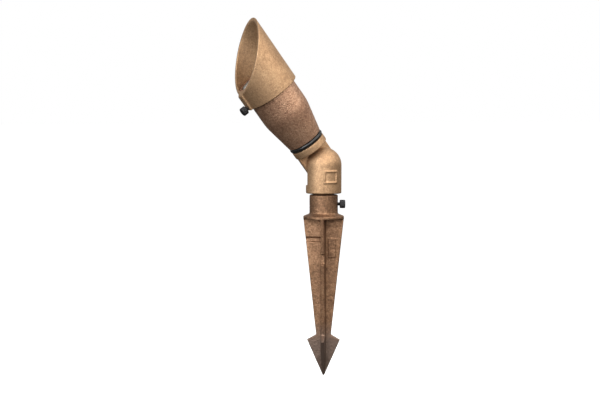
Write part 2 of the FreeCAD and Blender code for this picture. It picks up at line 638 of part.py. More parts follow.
def bowed_wire(side):
    """One lead: from the holder's foot it bows out and comes back to the seal, four arcs that meet smoothly."""
    x = side * PIN_SPACING / 2
    top = HOLDER_FOOT
    low = SEAL_PLUG_TOP
    middle = (top + low) / 2
    quarter = (top - low) / 4
    bow = LEAD_SLACK * (top - low)
    points = [(x, top), (x + side * bow / 2, middle + quarter), (x + side * bow, middle),
              (x + side * bow / 2, middle - quarter), (x, low)]
    lift = quarter * quarter / (2 * bow) + bow / 8       # radius of each quarter's arc
    edges = []
    for index in range(4):
        start = at(points[index][0], 0, points[index][1])
        end = at(points[index + 1][0], 0, points[index + 1][1])
        chord = end - start
        sag = lift - math.sqrt(lift * lift - chord.Length * chord.Length / 4)
        inward = Vector(chord.z, 0, -chord.x)
        inward.normalize()
        outer = side if index in (1, 2) else -side
        if inward.x * outer < 0:
            inward = inward * -1
        edges.append(Part.Arc(start, (start + end) * 0.5 + inward * sag, end).toShape())
    path = Part.Wire(edges)
    profile = Part.Wire([Part.makeCircle(LEAD_R, at(x, 0, top), Z)])
    return path.makePipeShell([profile], True, False)


def leads():
    return on_head(Part.makeCompound([bowed_wire(side) for side in (-1, 1)]))


def wire_seal():
    """The rubber plug in the cap's bore that keeps damp out round the leads."""
    plug = cylinder(CAP_BORE_R - RUNNING_GAP, SEAL_PLUG_LOW, SPIGOT_TOP + SEAT_GAP + 0.1)
    lip = cylinder(SEAL_PLUG_LIP_R, SPIGOT_TOP + SEAT_GAP, SEAL_PLUG_TOP)
    return on_head(plug.fuse(lip).removeSplitter())


# ---- cowl -----------------------------------------------------------------------------------------------------
def cut_height(x):
    """Height of the slanted cut's plane over that x: high at the back (+X), low in front."""
    return CUT_CENTRE + x * math.tan(math.radians(CUT_ANGLE))


def cut_off_slanted(shape):
    """Takes off everything above the slanted cut."""
    reach = COWL_R * 2
    above = [(-reach, cut_height(-reach)), (reach, cut_height(reach)), (reach, FAR), (-reach, FAR)]
    return shape.cut(plate(above, reach * 2))


def cowl():
    shell = rounded(cut_off_slanted(cylinder(COWL_R, COWL_FOOT, FAR)), COWL_EDGE, on_cut_edge)
    boss = cuboid(-BOSS_REACH, 0, -BOSS_W / 2, BOSS_W / 2, COWL_FOOT, FAR)
    boss = rounded(boss, BOSS_EDGE, lambda edge: edge.BoundBox.ZLength > 1 and edge.BoundBox.XMax < -1)
    shell = shell.fuse(cut_off_slanted(boss))
    shell = shell.cut(cylinder(COWL_BORE_R, COWL_FOOT - 1, FAR))
    shell = rounded(shell, COWL_EDGE, lambda edge: on_cut_edge(edge) and on_bore(edge))
    shell = shell.cut(ring(SLIP_RING_R, SLIP_RING_SECTION + RUNNING_GAP, SLIP_RING_Z))
    shell = shell.cut(cylinder_along(SCREW_R + RUNNING_GAP, at(0, 0, COWL_SCREW_Z), -X, BOSS_REACH + 1))
    return on_head(shell)


def on_cut_edge(edge):
    """Chooses the edges that lie all along the slanted cut."""
    span = edge.LastParameter - edge.FirstParameter
    for share in (0, 0.25, 0.5, 0.75, 1):
        point = edge.valueAt(edge.FirstParameter + span * share)
        if abs(point.z - cut_height(point.x)) > 0.02:
            return False
    return True


def on_bore(edge):
    """Chooses the edges that run round the cowl's bore."""
    for point in (edge.valueAt(edge.FirstParameter), edge.valueAt((edge.FirstParameter + edge.LastParameter) / 2)):
        if abs(math.hypot(point.x, point.y) - COWL_BORE_R) > 0.02:
            return False
    return True


def slip_ring():
    return on_head(ring(SLIP_RING_R, SLIP_RING_SECTION, SLIP_RING_Z))


# ---- output -----------------------------------------------------------------------------------------------
def main():
    spike_screw, spike_screw_pad = spike_screw_parts()
    cowl_screw, cowl_screw_pad = cowl_screw_parts()
    nodes = {
        "ground_spike": spike(),
        "spike_thumb_screw": spike_screw,
        "spike_screw_pad": spike_screw_pad,
        "threaded_stem": stem(),
        "knuckle_lower_half": knuckle_lower(),
        "knuckle_seal": knuckle_seal(),
        "knuckle_bolt": knuckle_bolt(),
        "knuckle_washer": knuckle_washer(),
        "knuckle_upper_half": knuckle_upper(),
        "body_oring": body_oring(),
        "body_shell": body_shell(),
        "lens_gasket": lens_gasket(),
        "lens": lens(),
        "lens_retainer": lens_retainer(),
        "lamp_reflector": lamp_reflector(),
        "lamp_cover_glass": lamp_cover(),
        "lamp_base": lamp_base(),
        "lamp_pins": lamp_pins(),
        "lamp_capsule": lamp_capsule(),
        "lamp_clip": lamp_clip(),
        "lamp_holder": lamp_holder(),
        "leads": leads(),
        "wire_seal": wire_seal(),
        "glare_cowl": cowl(),
        "cowl_slip_ring": slip_ring(),
        "cowl_thumb_screw": cowl_screw,
        "cowl_screw_pad": cowl_screw_pad,
    }
    os.makedirs("parts", exist_ok=True)
    for name, shape in nodes.items():
        solids = shape.Solids
        valid = shape.isValid()
        print(f"{name:22s} solids {len(solids)}  volume {shape.Volume / 1000:8.2f} cm3  valid {valid}")
        shape.exportStep(f"parts/{name}.step")


main()
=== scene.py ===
"""Garden spike spotlight, dressed for its portrait: cast bronze pieces with a sand-mould skin, turned black
screws, and a faceted reflector behind the lens.  Sizes of the part are in millimetres, as in its own
source, and each piece is put in place in metres, in the frame's own coordinates.  Stage and camera are in
metres."""

import math

import bmesh
import bpy
import numpy as np
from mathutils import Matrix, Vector


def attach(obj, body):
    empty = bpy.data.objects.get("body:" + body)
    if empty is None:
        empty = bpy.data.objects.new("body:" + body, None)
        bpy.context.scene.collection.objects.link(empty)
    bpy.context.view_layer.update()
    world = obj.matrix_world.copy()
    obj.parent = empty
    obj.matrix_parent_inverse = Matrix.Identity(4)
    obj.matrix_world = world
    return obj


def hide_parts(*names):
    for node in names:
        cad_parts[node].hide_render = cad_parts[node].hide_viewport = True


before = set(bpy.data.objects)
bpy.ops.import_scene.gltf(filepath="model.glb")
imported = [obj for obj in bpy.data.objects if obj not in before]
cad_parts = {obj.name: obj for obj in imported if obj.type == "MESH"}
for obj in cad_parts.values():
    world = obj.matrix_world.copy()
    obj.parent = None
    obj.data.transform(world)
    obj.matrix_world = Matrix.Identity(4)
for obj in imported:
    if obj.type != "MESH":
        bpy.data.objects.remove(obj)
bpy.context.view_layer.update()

# ---- sizes of the part, in millimetres ----------------------------------------------------------------
SEAT_GAP = 0.1                              # between pieces that sit on each other

# Places of the head and the spike
TILT = math.radians(37.0)                   # the head leans this far from upright, towards -X
HINGE = np.array([0.0, 4.0, 62.0])          # the head's own origin, on the knuckle bolt's axis
SPIKE_TURN = math.radians(-28.0)            # turn of the spike and its screw about the spike's axis

# Lamp, seen through the lens
LAMP_R = 25.0
LAMP_RIM_H = 4.0
LAMP_RIM_W = 1.8                            # how far the rim stands out from the bowl
LAMP_NECK_R = 8.4
LAMP_DEPTH = 30.0                           # from the rim's underside to the neck
LAMP_WALL = 1.6
LAMP_COVER_H = 1.2
LAMP_BOWL_R = LAMP_R - LAMP_RIM_W
BOWL_MID_OUT, BOWL_MID_UP = 0.68, 0.45      # where the bowl's curve passes half way, as shares out and up
WALL_SLANT = 0.7                            # the wall half way, where it slants, as a share inwards and up
FACETS_ROUND, FACET_ROWS = 28, 9
FACET_DEPTH = 0.45
FACET_FADE = 8                              # the facets fade out over the last eighth of the bowl

# Body
BODY_TOP = 127.0                            # the front end; the bays inside are measured back from it
BODY_FOOT = 37.1
BODY_FOOT_R = 21.1
BODY_NECK = 47.0                            # inner end of the foot's bore
BODY_WALL = 3.2
SPIGOT_BORE_R = 15.55                       # bore of the foot, which sits on the cap
TAPER_TOP = 66.0
TAPER_TOP_R = 26.6
BARREL_START = 80.0
BARREL_CURVE_OUT = 0.74                     # how far out the curve into the barrel has come half way up
BORE_DROP = 4                               # the wide straight bore ends this far below the barrel
LENS_BAY = 6.5                              # depth of the lens's bay
LAMP_BAY = 8.5                              # depth of the lamp rim's bay, behind the lens's
LEDGE_ROOM = 0.5                            # radial gap between the lamp's bowl and its ledge
LAMP_ROOM = 0.4                             # radial gap round the lamp's rim
LENS_STEP = 1.0                             # width of the shelf between the two bays
LENS_WALL = 1.85                            # the barrel's wall round the lens
BORE_START = BARREL_START - BORE_DROP
SHELF = BODY_TOP - LENS_BAY                 # floor of the lens's bay
LEDGE = SHELF - LAMP_BAY                    # the ledge that the lamp's rim sits on
LEDGE_R = LAMP_BOWL_R + LEDGE_ROOM
LAMP_BAY_R = LAMP_R + LAMP_ROOM
LENS_BAY_R = LAMP_BAY_R + LENS_STEP
BARREL_R = LENS_BAY_R + LENS_WALL
LAMP_NECK = LEDGE - LAMP_DEPTH
# Rounded edges, as three points of the curve: outwards and up from the edge's corner
FOOT_EDGE = ((-0.8, 0.0), (-0.1, 0.25), (0.15, 0.9))
FRONT_EDGE = ((0.0, -0.7), (-0.2, -0.2), (-0.7, 0.0))

# Ring between the cap and the body's foot
CAP_TOP = 31.6
RING_SECTION = 2.67
RING_PROUD = 0.3                            # how far it stands out past the body's foot
RING_MEAN_R = BODY_FOOT_R + RING_PROUD - RING_SECTION
RING_Z = (CAP_TOP + BODY_FOOT) / 2

# Cowl
COWL_ROOM = 0.75                            # radial gap between the barrel and the cowl
COWL_WALL = 3.4
COWL_LAP = 23.0                             # how far the cowl reaches back over the barrel
CUT_RISE = 28.0                             # from the body's front end to the slanted cut, on the axis
CUT_ANGLE = 43.0                            # the cut's slope, from square
BOSS_PROUD = 1.9                            # how far the screw boss's flat face stands out from the cowl
COWL_BORE_R = BARREL_R + COWL_ROOM
COWL_R = COWL_BORE_R + COWL_WALL
COWL_FOOT = BODY_TOP - COWL_LAP
CUT_CENTRE = BODY_TOP + CUT_RISE
CUT_SLOPE = math.tan(math.radians(CUT_ANGLE))
COWL_LIP = 0.9                              # width of each of the lip's two roundings
LIP_STRETCH = 1.3                           # they are this many times as tall as wide
FOOT_CHAMFER = 0.5
BOSS_REACH = COWL_R + BOSS_PROUD            # from the axis to the boss's flat face
BOSS_W = 12.0
BOSS_FLARE = 0.5                            # the boss starts to rise this far past its edge
BOSS_BLEND = 1.3                            # and is flat this much further in
BOSS_COS_LEAST = 0.2                        # keeps the flat face finite on the cowl's other side
HIDDEN_FROM = COWL_FOOT + 2                 # the cowl hides the barrel from here up

# Thumb screws, M4
SCREW_R = 2.0
SCREW_PAD_H = 1.2                           # the nylon pad at the screw's inner end
SCREW_IN = SEAT_GAP + SCREW_PAD_H           # from what the screw clamps to its inner end
THREAD_PITCH = 0.7
THREAD_ROOT, THREAD_WAVE = 0.12, 0.11       # how far the thread's middle lies in, and half its depth
NECK_OUT = 0.4                              # the plain neck under the knob, past the thread
KNOB_R = 4.95
KNOB_LENGTH = 6.3
KNOB_STAND = 2.1                            # bare thread between the metal and the knob
KNOB_ROUND = 0.9                            # rounding of the knob's ends
KNURL_RIDGES = 36
KNURL_PITCH = 1.35
KNURL_DEPTH = 0.34
FACE_IN, DISH_LIP_IN, DISH_FLOOR_IN = 1.4, 2.0, 2.3      # rings on the knob's outer face, in from its rim
DISH_DEEP = 0.3
COWL_SCREW_UP = 3.4                         # from the cowl's foot to its screw's axis
COWL_SCREW_Z = COWL_FOOT + COWL_SCREW_UP
SPIKE_SCREW_Z = 17.1
COLLAR_R = 16.5                             # the spike's screw goes through the collar
STEM_R = 10.48                              # and clamps the stem

# Skin that the sand mould leaves, as shares of its depth and of its hills' size
COARSE_SHARE, FINE_SHARE, SWELL_SHARE = 0.6, 0.4, 0.6
FINE_SIZE, SWELL_SIZE = 0.5, 5
LATTICE = 32                                # cells of random heights each way, after which they repeat

# Points round and along each surface
COWL_STEPS, COWL_ROWS_OUT, COWL_ROWS_IN, LIP_ROWS, LIP_BENDS = 330, 130, 80, 4, 6
BULLET_STEPS, BARREL_CURVE_ROWS, EDGE_ROWS = 340, 28, 4
RING_STEPS, RING_SIDES = 160, 28
SCREW_STEPS, KNOB_ROWS, THREAD_STEP = 192, 64, 0.1
BOWL_STEPS, BOWL_ROWS_OUT, BOWL_ROWS_IN = 336, 40, 96


# ---- placing --------------------------------------------------------------------------------------------
def on_head(points):
    """Head coordinates in mm to the frame in metres: turned about Y by the tilt, then moved to the bolt."""
    x, y, z = points[..., 0], points[..., 1], points[..., 2]
    c, s = math.cos(TILT), math.sin(TILT)
    leaning = np.stack([x * c - z * s, y, x * s + z * c], -1)
    return (leaning + HINGE) / 1000


def on_spike(points):
    """Spike coordinates in mm to the frame in metres: turned about Z."""
    x, y, z = points[..., 0], points[..., 1], points[..., 2]
    c, s = math.cos(SPIKE_TURN), math.sin(SPIKE_TURN)
    return np.stack([x * c - y * s, x * s + y * c, z], -1) / 1000


# ---- surfaces -------------------------------------------------------------------------------------------
def surface(name, points, closed_v):
    """A piece from a grid of points [around, along].  The first way always closes on itself, the second does
    if closed_v is set.  Rows that shrink to a point on an axis are merged there, so it is watertight."""
    around, along = points.shape[:2]
    index = np.arange(around * along).reshape(around, along)
    stop = along if closed_v else along - 1
    beside = np.roll(index, -1, axis=0)
    a = index[:, :stop]
    b = beside[:, :stop]
    c = np.roll(beside, -1, axis=1)[:, :stop]
    d = np.roll(index, -1, axis=1)[:, :stop]
    quads = np.stack([a, b, c, d], -1).reshape(-1, 4)
    mesh = bpy.data.meshes.new(name)
    mesh.from_pydata(points.reshape(-1, 3).tolist(), [], quads.tolist())
    tidy(mesh)
    return piece(name, mesh)


def tidy(mesh):
    """Merges points that coincide and turns every face outwards."""
    work = bmesh.new()
    work.from_mesh(mesh)
    bmesh.ops.remove_doubles(work, verts=work.verts, dist=1e-6)
    bmesh.ops.recalc_face_normals(work, faces=work.faces)
    work.to_mesh(mesh)
    work.free()


def piece(name, mesh):
    """An object at the origin that shows the mesh, shaded smooth."""
    shape = bpy.data.objects.new(name, mesh)
    bpy.context.collection.objects.link(shape)
    mesh.shade_smooth()
    return shape


def run(start, end, step):
    """Points from start to end (not included), no further apart than step."""
    start, end = np.array(start, float), np.array(end, float)
    count = max(1, int(np.ceil(np.linalg.norm(end - start) / step)))
    share = np.arange(count)[:, None] / count
    return start + (end - start) * share


def polyline(corners, steps):
    """Points along straight stretches between corners, the last one not included, with a step for each."""
    return np.concatenate([run(start, end, step) for start, end, step in zip(corners, corners[1:], steps)])


def arc_through(start, middle, end, count):
    """Points along the parabola through three points, the middle one half way along; end not included."""
    t = np.arange(count)[:, None] / count
    start, middle, end = (np.array(p, float) for p in (start, middle, end))
    bend = 2 * middle - (start + end) / 2
    return (1 - t) ** 2 * start + 2 * t * (1 - t) * bend + t ** 2 * end


def turned(profile, steps):
    """Spins a profile of (radius, height) about Z: point = (radius cos a, radius sin a, height)."""
    a = np.linspace(0, 2 * math.pi, steps, endpoint=False)[:, None]
    radius, height = profile[:, 0][None], profile[:, 1][None]
    return np.stack([radius * np.cos(a), radius * np.sin(a), height + 0 * a], -1)


def grain(points, size, seed):
    """Smooth random hills about size mm across, from -1 to 1: a lattice of random heights, blended between
    its eight nearest corners by a smooth step in each direction."""
    lattice = np.random.default_rng(seed).uniform(-1, 1, (LATTICE, LATTICE, LATTICE))
    place = points * 1000 / size
    cell = np.floor(place).astype(int)
    part = place - cell
    part = part * part * (3 - 2 * part)
    total = np.zeros(len(points))
    for dx in (0, 1):
        for dy in (0, 1):
            for dz in (0, 1):
                weight = np.ones(len(points))
                for axis, step in enumerate((dx, dy, dz)):
                    weight *= part[:, axis] if step else 1 - part[:, axis]
                corner = (cell + (dx, dy, dz)) % LATTICE
                total += weight * lattice[corner[:, 0], corner[:, 1], corner[:, 2]]
    return total


def sand_skin(shape, depth, size, seed):
    """Gives a casting the skin its sand mould left: each point moves along its normal by hills of two sizes
    and a broad swell, less the depth, so that little stands out past the solid.  The hills alone, from -1
    to 1, are kept in the attribute relief, which the bronze reads to darken the hollows."""
    mesh = shape.data
    count = len(mesh.vertices)
    points = np.empty(count * 3)
    normals = np.empty(count * 3)
    mesh.vertices.foreach_get("co", points)
    mesh.vertex_normals.foreach_get("vector", normals)
    points, normals = points.reshape(-1, 3), normals.reshape(-1, 3)
    hills = COARSE_SHARE * grain(points, size, seed) + FINE_SHARE * grain(points, size * FINE_SIZE, seed + 1)
    swell = grain(points, size * SWELL_SIZE, seed + 2)
    height = hills * depth + swell * depth * SWELL_SHARE
    mesh.vertices.foreach_set("co", (points + normals * (height - depth)[:, None] / 1000).ravel())
    relief = mesh.attributes.new("relief", "FLOAT", "POINT")
    relief.data.foreach_set("value", hills.astype(np.float32))
    mesh.update()


def soft_casting(node, name, cell, rounds):
    """A casting with the soft edges of a sand mould: the solid's own surface is rebuilt on a grid of cells,
    cell mm wide, then each point moves half way to the middle of its neighbours, rounds times over."""
    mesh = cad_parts[node].data.copy()
    tidy(mesh)
    shape = piece(name, mesh)
    grid = shape.modifiers.new("grid", "REMESH")
    grid.mode = "VOXEL"
    grid.voxel_size = cell / 1000
    soften = shape.modifiers.new("soften", "SMOOTH")
    soften.factor = 0.5
    soften.iterations = rounds
    built = bpy.data.meshes.new_from_object(shape.evaluated_get(bpy.context.evaluated_depsgraph_get()))
    shape.modifiers.clear()
    shape.data = built
    built.name = name
    built.materials.clear()
    built.shade_smooth()
    return shape


# ---- shapes -----------------------------------------------------------------------------------------------
def cowl_points():
    """At angle a the wall's section runs up outside, over a rounded lip on the slanted cut, and down
    inside.  Outer radius: the cowl's, or BOSS_REACH / cos where the screw's flat boss stands out on the -X
    side, with a smooth step between.  Height of the cut: CUT_CENTRE + radius cos a times its slope."""
    a = np.linspace(0, 2 * math.pi, COWL_STEPS, endpoint=False)
    side = np.abs(np.sin(a)) * BOSS_REACH
    flat = BOSS_REACH / np.maximum(-np.cos(a), BOSS_COS_LEAST)
    rise = np.clip((BOSS_W / 2 + BOSS_FLARE - side) / BOSS_BLEND, 0, 1)
    rise = np.where(np.cos(a) < 0, rise * rise * (3 - 2 * rise), 0)
    outer = COWL_R + (flat - COWL_R) * rise
    inner = np.full_like(a, COWL_BORE_R)
    lip_height = COWL_LIP * LIP_STRETCH

    def cut(radius):
        """Height of the slanted cut at this radius, at each angle."""
        return CUT_CENTRE + radius * np.cos(a) * CUT_SLOPE

    def wall(radius, share):
        """Heights along a wall, from above the foot's chamfer to below the lip."""
        return COWL_FOOT + FOOT_CHAMFER + (cut(radius) - lip_height - COWL_FOOT - FOOT_CHAMFER) * share

    def band(radius, height):
        """Rows of the section: radius and height brought to one shape [row, angle]."""
        return [np.atleast_2d(part) for part in np.broadcast_arrays(radius, height)]

    up = np.linspace(0, 1, COWL_ROWS_OUT)[:, None]
    down = np.linspace(1, 0, COWL_ROWS_IN)[:, None]
    bend = np.linspace(0, math.pi / 2, LIP_BENDS)[1:-1, None]
    across = np.linspace(0, 1, LIP_ROWS)[:, None]
    lip_out = outer - COWL_LIP + COWL_LIP * np.cos(bend)
    lip_top = outer - COWL_LIP + (inner - outer + 2 * COWL_LIP) * across
    lip_in = inner + COWL_LIP - COWL_LIP * np.sin(bend)
    section = [
        band(outer - FOOT_CHAMFER, COWL_FOOT + 0 * a),
        band(outer, wall(outer, up)),
        band(lip_out, cut(lip_out) - lip_height * (1 - np.sin(bend))),
        band(lip_top, cut(lip_top)),
        band(lip_in, cut(lip_in) - lip_height * (1 - np.cos(bend))),
        band(inner, wall(inner, down)),
        band(inner + FOOT_CHAMFER, COWL_FOOT + 0 * a),
    ]
    radius, height = (np.concatenate(rows) for rows in zip(*section))
    points = np.stack([radius * np.cos(a), radius * np.sin(a), height], -1)
    return on_head(points.transpose(1, 0, 2))


def bullet_points():
    """The body's section, spun: a straight taper, a curve into the barrel, a rounded front, and the stepped
    bays of the lens and the lamp inside."""
    foot_start, foot_middle, foot_end = ((BODY_FOOT_R + out, BODY_FOOT + up) for out, up in FOOT_EDGE)
    front_start, front_middle, front_end = ((BARREL_R + out, BODY_TOP + up) for out, up in FRONT_EDGE)
    curve_middle = (TAPER_TOP_R + (BARREL_R - TAPER_TOP_R) * BARREL_CURVE_OUT,
                    (TAPER_TOP + BARREL_START) / 2)
    flare, rise = TAPER_TOP_R - BODY_FOOT_R, TAPER_TOP - BODY_FOOT
    neck_out_r = BODY_FOOT_R + flare * (BODY_NECK - BODY_FOOT) / rise
    bays = [front_end, (LENS_BAY_R, BODY_TOP), (LENS_BAY_R, SHELF), (LAMP_BAY_R, SHELF), (LAMP_BAY_R, LEDGE),
            (LEDGE_R, LEDGE), (LEDGE_R, BORE_START), (neck_out_r - BODY_WALL, BODY_NECK),
            (SPIGOT_BORE_R, BODY_NECK), (SPIGOT_BORE_R, BODY_FOOT)]
    bay_steps = [0.6, 1.5, 0.6, 1.5, 0.6, 3, 3, 1.5, 2]
    profile = np.concatenate([
        run((SPIGOT_BORE_R, BODY_FOOT), foot_start, 1.2),
        arc_through(foot_start, foot_middle, foot_end, EDGE_ROWS),
        run(foot_end, (TAPER_TOP_R, TAPER_TOP), 0.5),
        arc_through((TAPER_TOP_R, TAPER_TOP), curve_middle, (BARREL_R, BARREL_START), BARREL_CURVE_ROWS),
        polyline([(BARREL_R, BARREL_START), (BARREL_R, HIDDEN_FROM), front_start], [0.5, 1.5]),
        arc_through(front_start, front_middle, front_end, EDGE_ROWS),
        polyline(bays, bay_steps),
    ])
    return on_head(turned(profile, BULLET_STEPS))


def ring_points(mean_radius, section, height):
    """A round ring: (R + r cos b) at angle a, height + r sin b."""
    b = np.linspace(0, 2 * math.pi, RING_SIDES, endpoint=False)
    profile = np.stack([mean_radius + section * np.cos(b), height + section * np.sin(b)], -1)
    return turned(profile, RING_STEPS)


def screw_points(inner_end, knob_in):
    """A thumb screw along +X: a thread that winds as sin(2 pi x / pitch - a), a plain neck, and a knob whose
    radius carries two crossing sets of ridges, which makes the diamonds of a knurl.  Its outer face has a
    shallow dish."""
    a = np.linspace(0, 2 * math.pi, SCREW_STEPS, endpoint=False)[:, None]
    thread = np.arange(inner_end, knob_in, THREAD_STEP)
    knob = np.linspace(0, KNOB_LENGTH, KNOB_ROWS)
    knob_out = knob_in + KNOB_LENGTH
    x = np.concatenate([[inner_end], thread, [knob_in], knob_in + knob,
                        [knob_out] * 2, [knob_out - DISH_DEEP] * 2])[None]
    inward = np.clip(np.minimum(knob, KNOB_LENGTH - knob) / KNOB_ROUND, 0, 1)
    edge = KNOB_R - KNOB_ROUND * (1 - inward) ** 2
    across = KNURL_RIDGES * a
    slant = knob[None] * 2 * math.pi / KNURL_PITCH
    knurl = np.abs(np.sin((across + slant) / 2)) * np.abs(np.sin((across - slant) / 2))
    radius = np.concatenate([
        0 * a,
        SCREW_R - THREAD_ROOT + THREAD_WAVE * np.sin(2 * math.pi * thread[None] / THREAD_PITCH - a),
        SCREW_R + NECK_OUT + 0 * a,
        edge[None] - KNURL_DEPTH * inward[None] * (1 - knurl),
        KNOB_R - FACE_IN + 0 * a,
        KNOB_R - DISH_LIP_IN + 0 * a,
        KNOB_R - DISH_FLOOR_IN + 0 * a,
        0 * a,
    ], axis=1)
    return np.stack([x + 0 * a, radius * np.cos(a), radius * np.sin(a)], -1)


def reflector_points():
    """The lamp's bowl: outside smooth, inside pressed into facets, whose depth follows |sin| round the bowl
    times |sin| along it, t running from 0 at the rim to 1 at the neck."""
    a = np.linspace(0, 2 * math.pi, BOWL_STEPS, endpoint=False)[:, None]
    low = LEDGE + SEAT_GAP
    front = low + LAMP_RIM_H
    cover_seat = front - (LAMP_COVER_H + SEAT_GAP)
    middle_r = LAMP_NECK_R + (LAMP_BOWL_R - LAMP_NECK_R) * BOWL_MID_OUT
    middle_z = LAMP_NECK + (low - LAMP_NECK) * BOWL_MID_UP
    rim = [(LAMP_BOWL_R, low), (LAMP_R, low), (LAMP_R, front), (LAMP_BOWL_R, front),
           (LAMP_BOWL_R, cover_seat), (LAMP_BOWL_R - LAMP_WALL, cover_seat)]
    outside = np.concatenate([
        arc_through((LAMP_NECK_R, LAMP_NECK), (middle_r, middle_z), (LAMP_BOWL_R, low), BOWL_ROWS_OUT),
        polyline(rim, [0.6, 1, 0.6, 0.5, 0.6])])
    inside = arc_through((LAMP_BOWL_R - LAMP_WALL, cover_seat),
                         (middle_r - LAMP_WALL * WALL_SLANT, middle_z + LAMP_WALL * WALL_SLANT),
                         (LAMP_NECK_R - LAMP_WALL, LAMP_NECK + LAMP_WALL), BOWL_ROWS_IN)
    end = np.array([[LAMP_NECK_R - LAMP_WALL, LAMP_NECK]])
    profile = np.concatenate([outside, inside, end])
    grid = turned(profile, BOWL_STEPS)
    t = np.linspace(0, 1, len(inside))[None]
    round_wave = np.abs(np.sin(FACETS_ROUND / 2 * a))
    along_wave = np.abs(np.sin(FACET_ROWS * math.pi * t))
    facet = FACET_DEPTH * round_wave * along_wave * np.clip(FACET_FADE * (1 - t), 0, 1)
    span = slice(len(outside), len(outside) + len(inside))
    grow = 1 + facet / np.maximum(profile[span, 0][None], 1)
    grid[:, span, 0] *= grow
    grid[:, span, 1] *= grow
    return on_head(grid)


# ---- materials --------------------------------------------------------------------------------------------
# Sockets of the Mix node when it blends colours
MIX_FACTOR, MIX_FROM, MIX_TO, MIX_RESULT = 0, 6, 7, 2
# Where a bronze's three colours lie on the scale of its tone
DARK_AT, MID_AT, LIGHT_AT = 0.20, 0.38, 0.56
# What the patches, the grains and the skin's relief each add to the tone
PATCH_SHARE, GRAIN_SHARE, RELIEF_SHARE = 0.25, 0.5, 0.12
PATCH_SIZE = 25             # mm across
POINT_SHADE_FADE = 25           # mm of height over which the painted shade at the spike's point sets in
# Colour of the painted shade towards the spike's point
POINT_SHADE_COLOUR = "75645A"
BRONZE_METALLIC = 0.85      # the rest is oxide
PIT_ROUGHER = 0.10          # roughness that a bronze gains in its pits
TOP_SMOOTHER = 0.05         # and loses on its grain tops
# Least and most roughness of a plain finish, as shares of the one given
GLOSS_LEAST, GLOSS_MOST = 0.85, 1.2


def linear(hex_colour):
    """An sRGB hex colour as linear red, green, blue and alpha."""
    parts = [int(hex_colour[k:k + 2], 16) / 255 for k in (0, 2, 4)]
    return [p / 12.92 if p <= 0.04045 else ((p + 0.055) / 1.055) ** 2.4 for p in parts] + [1.0]


def add(made, kind, inputs=None, **settings):
    """Adds a node, sets its settings, and gives each input a value or a link from another node's output."""
    node = made.node_tree.nodes.new(kind)
    for key, value in settings.items():
        setattr(node, key, value)
    for key, value in (inputs or {}).items():
        if isinstance(value, bpy.types.NodeSocket):
            made.node_tree.links.new(value, node.inputs[key])
        else:
            node.inputs[key].default_value = value
    return node


def new_material(name):
    """A material without nodes."""
    made = bpy.data.materials.new(name)
    made.use_nodes = True
    made.node_tree.nodes.clear()
    return made


def finish_material(made, inputs):
    """Adds the material's shader with these inputs and joins it to the output."""
    shader = add(made, "ShaderNodeBsdfPrincipled", inputs)
    add(made, "ShaderNodeOutputMaterial", {"Surface": shader.outputs["BSDF"]})


def cast_bronze(name, dark, mid, light, roughness, grit, bump, shade_below=None):
    """Bronze as it comes from a sand mould and the tumbler: an even brown gold that drifts a little in
    patches, with darker oxide in the pits between the grains and paler rubbed grain tops, grit mm apart.
    Moulding sand of 0.3 mm is too fine to show, so its grain is drawn coarser.  Below the height given in mm,
    painted shade darkens the colour over the fade's height, so that the spike is darkest at its point."""
    made = new_material(name)
    where = add(made, "ShaderNodeTexCoord").outputs["Object"]
    patches = add(made, "ShaderNodeTexNoise", {"Vector": where, "Scale": 1000 / PATCH_SIZE, "Detail": 2.0})
    grains = add(made, "ShaderNodeTexNoise", {"Vector": where, "Scale": 1000 / grit, "Detail": 3.0,
                                              "Roughness": 0.6}).outputs["Fac"]
    relief = add(made, "ShaderNodeAttribute", attribute_name="relief")
    soft = add(made, "ShaderNodeMath", {0: patches.outputs["Fac"], 1: PATCH_SHARE}, operation="MULTIPLY")
    fine = add(made, "ShaderNodeMath", {0: grains, 1: GRAIN_SHARE, 2: soft.outputs[0]},
               operation="MULTIPLY_ADD")
    tone = add(made, "ShaderNodeMath", {0: relief.outputs["Fac"], 1: RELIEF_SHARE, 2: fine.outputs[0]},
               operation="MULTIPLY_ADD").outputs[0]
    shades = add(made, "ShaderNodeValToRGB", {"Fac": tone})
    stops = shades.color_ramp.elements
    stops.new(MID_AT)
    for stop, position, shade in zip(stops, (DARK_AT, MID_AT, LIGHT_AT), (dark, mid, light)):
        stop.position = position
        stop.color = linear(shade)
    colour = shades.outputs["Color"]
    # Painted shade: below the given height the colour darkens towards the spike's point.
    if shade_below is not None:
        height = add(made, "ShaderNodeSeparateXYZ", {"Vector": where}).outputs["Z"]
        low = add(made, "ShaderNodeMapRange", {"Value": height, "From Min": shade_below / 1000,
                                               "From Max": (shade_below - POINT_SHADE_FADE) / 1000,
                                               "To Min": 0.0, "To Max": 1.0})
        point_shade = add(made, "ShaderNodeMix", {MIX_FACTOR: low.outputs["Result"], MIX_FROM: colour,
                                              MIX_TO: linear(POINT_SHADE_COLOUR)}, data_type="RGBA")
        colour = point_shade.outputs[MIX_RESULT]
    dull = add(made, "ShaderNodeMapRange", {"Value": tone, "From Min": DARK_AT, "From Max": LIGHT_AT,
                                            "To Min": roughness + PIT_ROUGHER,
                                            "To Max": roughness - TOP_SMOOTHER})
    skin = add(made, "ShaderNodeBump", {"Height": grains, "Distance": bump / 1000, "Strength": 1.0})
    finish_material(made, {"Base Color": colour, "Metallic": BRONZE_METALLIC,
                           "Roughness": dull.outputs["Result"], "Normal": skin.outputs["Normal"]})
    return made


